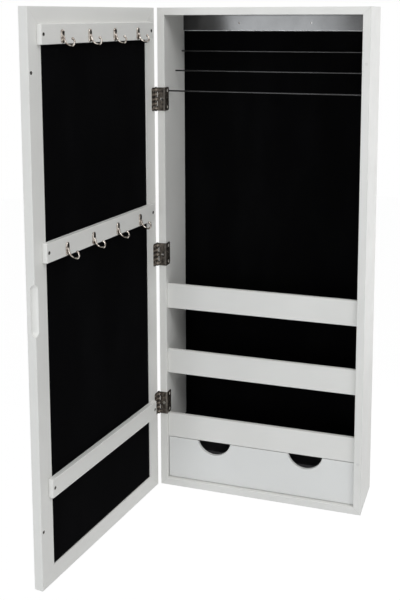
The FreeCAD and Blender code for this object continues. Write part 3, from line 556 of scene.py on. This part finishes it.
def hook_shape():
    """A domed oval plate, a wire that grows out of it and bends up, and a rolled end."""
    vertices, faces = [], []

    def stack(rings):
        first, around = len(vertices), len(rings[0])
        for points in rings:
            vertices.extend(points)
        for r in range(len(rings) - 1):
            for i in range(around):
                a, b = first + r * around + i, first + r * around + (i + 1) % around
                faces.append((a, b, b + around, a + around))
        faces.append(tuple(range(first, first + around)))
        end = first + (len(rings) - 1) * around
        faces.append(tuple(range(end, end + around)))

    # The plate's dome: how wide it still is, and how far out from the bar.
    profile = (
        (1.0, 0.0), (1.0, 0.8), (0.97, 1.15), (0.9, 1.45), (0.78, 1.66), (0.6, 1.79), (0.35, 1.85)
    )
    stack([[Vector((x, out, z)) for x, z in plate_outline(scale)] for scale, out in profile])

    # The wire's middle line as (out, up, half width, half thickness).
    path = [(1.1, 1.9, 1.9, 0.6), (1.7, 0.5, 2.0, 0.9), (2.25, -0.8, 1.8, 1.2)]
    bends = 14
    for i in range(bends):
        angle = math.radians(4 + 86 * i / bends)
        y = HOOK["out"] - HOOK["leg"] * math.cos(angle)
        z = -HOOK["leg_drop"] - HOOK["leg"] * math.sin(angle)
        path.append((y, z, 1.42 + 0.25 * max(0.0, 1 - i / 4), WIRE))
    bow_up = HOOK["bow"] - HOOK["leg"] - HOOK["leg_drop"]
    turns = 22
    for i in range(turns + 1):
        angle = math.radians(HOOK["sweep"] * i / turns)
        y = HOOK["out"] + HOOK["bow"] * math.sin(angle)
        z = bow_up - HOOK["bow"] * math.cos(angle)
        wire = WIRE - 0.18 * i / turns
        path.append((y, z, wire, wire))
    rings = []
    for i, (y, z, wide, thick) in enumerate(path):
        ahead, behind = path[min(i + 1, len(path) - 1)], path[max(i - 1, 0)]
        along = Vector((0, ahead[0] - behind[0], ahead[1] - behind[1])).normalized()
        side = Vector((0, -along.z, along.y))
        ring = []
        for k in range(AROUND):
            angle = 2 * math.pi * k / AROUND
            offset = Vector((1, 0, 0)) * (wide * math.cos(angle)) + side * (thick * math.sin(angle))
            ring.append(Vector((0, y, z)) + offset)
        rings.append(ring)
    stack(rings)

    tip = Vector((0, path[-1][0], path[-1][1]))
    along = Vector((0, path[-1][0] - path[-2][0], path[-1][1] - path[-2][1])).normalized()
    side = Vector((0, -along.z, along.y))
    ball = []
    bands = 12
    for i in range(1, bands):
        polar = math.pi * i / bands
        radius, reach = TIP * math.sin(polar), -TIP * math.cos(polar)
        ball.append([
            tip + along * reach + Vector((1, 0, 0)) * (radius * math.cos(2 * math.pi * k / AROUND))
            + side * (radius * math.sin(2 * math.pi * k / AROUND))
            for k in range(AROUND)
        ])
    stack(ball)
    return vertices, faces


def make_hooks():
    vertices, faces = hook_shape()
    for bar in ("upper", "middle"):
        for count in range(1, 5):
            node = f"hook_{bar}_{count}"
            closed = [UNSWUNG @ v.co for v in frame["nodes"][node].data.vertices]
            low = Vector([min(v[i] for v in closed) for i in range(3)])
            high = Vector([max(v[i] for v in closed) for i in range(3)])
            middle = Vector(((low.x + high.x) / 2, low.y, high.z - HOOK["tall"] / 2 * MM))
            placed = [SWING @ (middle + v * MM) for v in vertices]
            new_piece(f"{node}_shaped", placed, faces, "door", "nickel", node)


# ---- room


FLOOR_LEVEL, FLOOR_RADIUS = -1.6, 7
# The floor's glow, and the share of it that the camera and reflections see.
FLOOR_GLOW, GLOW_SHARE = 1.14, 0.8
ROOM_LIGHT, ROOM_WHITE = 0.41, 1.0
# name, place, what it points at, size, power in watts, colour
LAMPS = (
    ("key", (1.9, -1.7, 1.5), (0, -0.1, -0.3), (1.1, 1.1), 24, (1, 1, 1)),
    ("front", (-0.66, -2.6, -0.4), (0, 0, -0.3), (0.6, 1.0), 13.5, (0.94, 0.97, 1.0)),
    ("top", (0.2, -1.0, 1.9), (0, -0.2, -0.3), (1.2, 1.2), 11, (1, 1, 1)),
    ("rim", (1.2, 2.1, -0.5), (0.1, 0, -0.4), (0.8, 1.7), 9, (1, 1, 1)),
)


def make_floor():
    """A pale floor well below the cabinet. It is white where nothing shades it."""
    bpy.ops.mesh.primitive_circle_add(
        vertices=64, radius=FLOOR_RADIUS, fill_type="NGON", location=(0, 0, FLOOR_LEVEL)
    )
    floor = bpy.context.object
    floor.name = "floor"
    finish = Finish("floor", Roughness=0.8, Specular_IOR_Level=0.2)
    finish.colour(finish.blend(finish.grain(3), (0.84, 0.84, 0.84), (0.88, 0.88, 0.88)))
    tree = finish.tree
    glow = finish.node("ShaderNodeEmission")
    glow.inputs["Strength"].default_value = FLOOR_GLOW
    path = finish.node("ShaderNodeLightPath")
    direct = finish.arithmetic("MAXIMUM", path.outputs["Is Camera Ray"], path.outputs["Is Glossy Ray"])
    share = finish.arithmetic("MULTIPLY", direct, GLOW_SHARE)
    mix = finish.node("ShaderNodeMixShader")
    tree.links.new(share, mix.inputs[0])
    tree.links.new(finish.shader.outputs[0], mix.inputs[1])
    tree.links.new(glow.outputs[0], mix.inputs[2])
    tree.links.new(mix.outputs[0], tree.nodes["Material Output"].inputs["Surface"])
    floor.data.materials.append(finish.material)


def make_world():
    """Even light on the object, and a white room where the camera looks past it."""
    world = bpy.data.worlds.new("studio")
    bpy.context.scene.world = world
    world.use_nodes = True
    nodes, links = world.node_tree.nodes, world.node_tree.links
    even = nodes["Background"]
    even.inputs["Color"].default_value = (0.985, 0.99, 1.0, 1)
    even.inputs["Strength"].default_value = ROOM_LIGHT
    white = nodes.new("ShaderNodeBackground")
    white.inputs["Color"].default_value = (1, 1, 1, 1)
    white.inputs["Strength"].default_value = ROOM_WHITE
    path = nodes.new("ShaderNodeLightPath")
    seen = None
    for ray in ("Is Camera Ray", "Is Glossy Ray", "Is Transmission Ray"):
        if seen is None:
            seen = path.outputs[ray]
            continue
        either = nodes.new("ShaderNodeMath")
        either.operation = "MAXIMUM"
        links.new(seen, either.inputs[0])
        links.new(path.outputs[ray], either.inputs[1])
        seen = either.outputs[0]
    mix = nodes.new("ShaderNodeMixShader")
    links.new(seen, mix.inputs[0])
    links.new(even.outputs[0], mix.inputs[1])
    links.new(white.outputs[0], mix.inputs[2])
    links.new(mix.outputs[0], nodes["World Output"].inputs["Surface"])


def make_lamp(name, spot, aim, size, power, colour):
    data = bpy.data.lights.new(name, "AREA")
    data.shape = "RECTANGLE"
    data.size, data.size_y = size
    data.energy = power
    data.color = colour
    lamp = bpy.data.objects.new(name, data)
    lamp.location = spot
    lamp.rotation_mode = "QUATERNION"
    lamp.rotation_quaternion = (Vector(aim) - Vector(spot)).to_track_quat("-Z", "Y")
    lamp.visible_camera = False
    bpy.context.scene.collection.objects.link(lamp)


make_camera()
dress_solids()
make_velvets()
make_tray()
make_hooks()
make_floor()
make_world()
for lamp in LAMPS:
    make_lamp(*lamp)

bpy.context.scene.view_settings.view_transform = "Standard"
